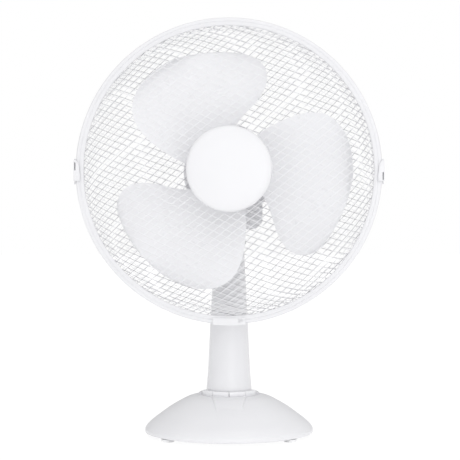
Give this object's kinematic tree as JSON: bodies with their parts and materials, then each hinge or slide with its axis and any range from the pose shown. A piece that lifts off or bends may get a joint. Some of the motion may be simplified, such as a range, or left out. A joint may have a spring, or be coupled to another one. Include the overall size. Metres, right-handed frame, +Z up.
{
  "type": "desk fan",
  "caption": "White desk fan: round wire guard, paddle propeller, oscillating and tilting motor head, slim tapered column with push keys and a low oval base.",
  "frame": {"origin": "middle of the footprint of the whole fan's box, on the surface it stands on", "axes": "+Z up, the fan blows towards -Y, +X to the right of a person facing the fan"},
  "size_m": [0.4406, 0.2591, 0.5996],
  "materials": {
    "white_plastic": "satin moulded white plastic",
    "blade_plastic": "smooth white moulded plastic with a faint cool tint",
    "grey_plastic": "mid grey moulded plastic",
    "black_plastic": "black moulded plastic",
    "white_wire": "white coated steel wire",
    "steel": "plain zinc plated steel",
    "aluminium": "die cast, unpainted",
    "copper_winding": "varnished copper winding",
    "bearing_bronze": "sintered bronze",
    "cast_iron": "rough cast ballast",
    "rubber": "pale grey rubber"
  },
  "bodies": {
    "stand": {"base_shell": "white_plastic", "base_plate": "grey_plastic", "ballast_weight": "cast_iron", "foot_1": "rubber", "foot_2": "rubber", "foot_3": "rubber", "foot_4": "rubber", "base_screw_1": "steel", "base_screw_2": "steel", "cord_inlet": "black_plastic", "key_housing": "white_plastic", "switch_block": "black_plastic", "column_front": "white_plastic", "column_rear": "white_plastic", "column_screw_1": "steel", "column_screw_2": "steel", "tilt_yoke": "grey_plastic", "tilt_bolt": "steel", "tilt_nut": "steel"},
    "neck": {"neck": "grey_plastic"},
    "head": {"oscillation_pin": "steel", "lower_head_cover": "grey_plastic", "gearbox": "grey_plastic", "motor_cover": "white_plastic", "motor_front_cover": "grey_plastic", "motor_front_bell": "aluminium", "motor_rear_bell": "aluminium", "stator_core": "steel", "winding_front": "copper_winding", "winding_rear": "copper_winding", "bearing_front": "bearing_bronze", "bearing_rear": "bearing_bronze", "capacitor": "black_plastic", "rear_centre_plate": "white_wire", "guard_nut": "white_plastic", "rear_guard": "white_wire", "rear_edge_ring": "white_wire", "front_guard": "white_wire", "front_edge_ring": "white_wire", "rim_band": "white_plastic", "centre_disc": "white_plastic", "rim_lock": "white_plastic", "rim_lock_screw": "steel", "clip_bracket_left": "white_plastic", "clip_bracket_right": "white_plastic"},
    "rotor": {"propeller": "blade_plastic", "motor_shaft": "steel", "rotor_core": "steel", "spinner_nut": "black_plastic", "drive_pin": "steel"},
    "knob": {"oscillation_knob": "white_plastic"},
    "crank": {"crank_disc": "steel"},
    "link": {"link_rod": "steel"},
    "clip_left": {"rim_clip_left": "white_plastic"},
    "clip_right": {"rim_clip_right": "white_plastic"},
    "key_0": {"key_0": "white_plastic"},
    "key_1": {"key_1": "white_plastic"},
    "key_2": {"key_2": "white_plastic"},
    "key_3": {"key_3": "white_plastic"}
  },
  "joints": [
    {"name": "head_tilt", "type": "hinge", "parent": "stand", "child": "neck", "pos_m": [0, 0.031, 0.284], "axis": [-1, 0, 0], "range_deg": [-6, 20]},
    {"name": "head_swing", "type": "hinge", "parent": "neck", "child": "head", "pos_m": [0, 0.031, 0.3], "axis": [0, 0, 1], "range_deg": [-40, 40]},
    {"name": "propeller_spin", "type": "hinge", "parent": "head", "child": "rotor", "pos_m": [0, -0.056, 0.385], "axis": [0, 1, 0], "continuous": true},
    {"name": "knob_pull", "type": "slide", "parent": "head", "child": "knob", "axis": [0, 0, 1], "range_m": [0, 0.008]},
    {"name": "crank_turn", "type": "hinge", "parent": "head", "child": "crank", "pos_m": [0, 0.059, 0.312], "axis": [0, 0, 1], "range_deg": [-90, 90]},
    {"name": "link_turn", "type": "hinge", "parent": "neck", "child": "link", "pos_m": [0.014, 0.031, 0.308], "axis": [0, 0, 1], "range_deg": [-40, 40]},
    {"name": "clip_left_flip", "type": "hinge", "parent": "head", "child": "clip_left", "pos_m": [-0.2176, -0.043, 0.385], "axis": [0, 0, -1], "range_deg": [0, 80]},
    {"name": "clip_right_flip", "type": "hinge", "parent": "head", "child": "clip_right", "pos_m": [0.2176, -0.043, 0.385], "axis": [0, 0, 1], "range_deg": [0, 80]},
    {"name": "key_0_press", "type": "slide", "parent": "stand", "child": "key_0", "axis": [0, 0, -1], "range_m": [0, 0.004], "stiffness_N_per_m": 500, "springref_m": -0.003},
    {"name": "key_1_press", "type": "slide", "parent": "stand", "child": "key_1", "axis": [0, 0, -1], "range_m": [0, 0.004], "stiffness_N_per_m": 500, "springref_m": -0.003},
    {"name": "key_2_press", "type": "slide", "parent": "stand", "child": "key_2", "axis": [0, 0, -1], "range_m": [0, 0.004], "stiffness_N_per_m": 500, "springref_m": -0.003},
    {"name": "key_3_press", "type": "slide", "parent": "stand", "child": "key_3", "axis": [0, 0, -1], "range_m": [0, 0.004], "stiffness_N_per_m": 500, "springref_m": -0.003}
  ],
  "couplings": [
    {"joint": "crank_turn", "follows": "head_swing", "ratio": -2.25},
    {"joint": "link_turn", "follows": "head_swing", "ratio": 1}
  ]
}
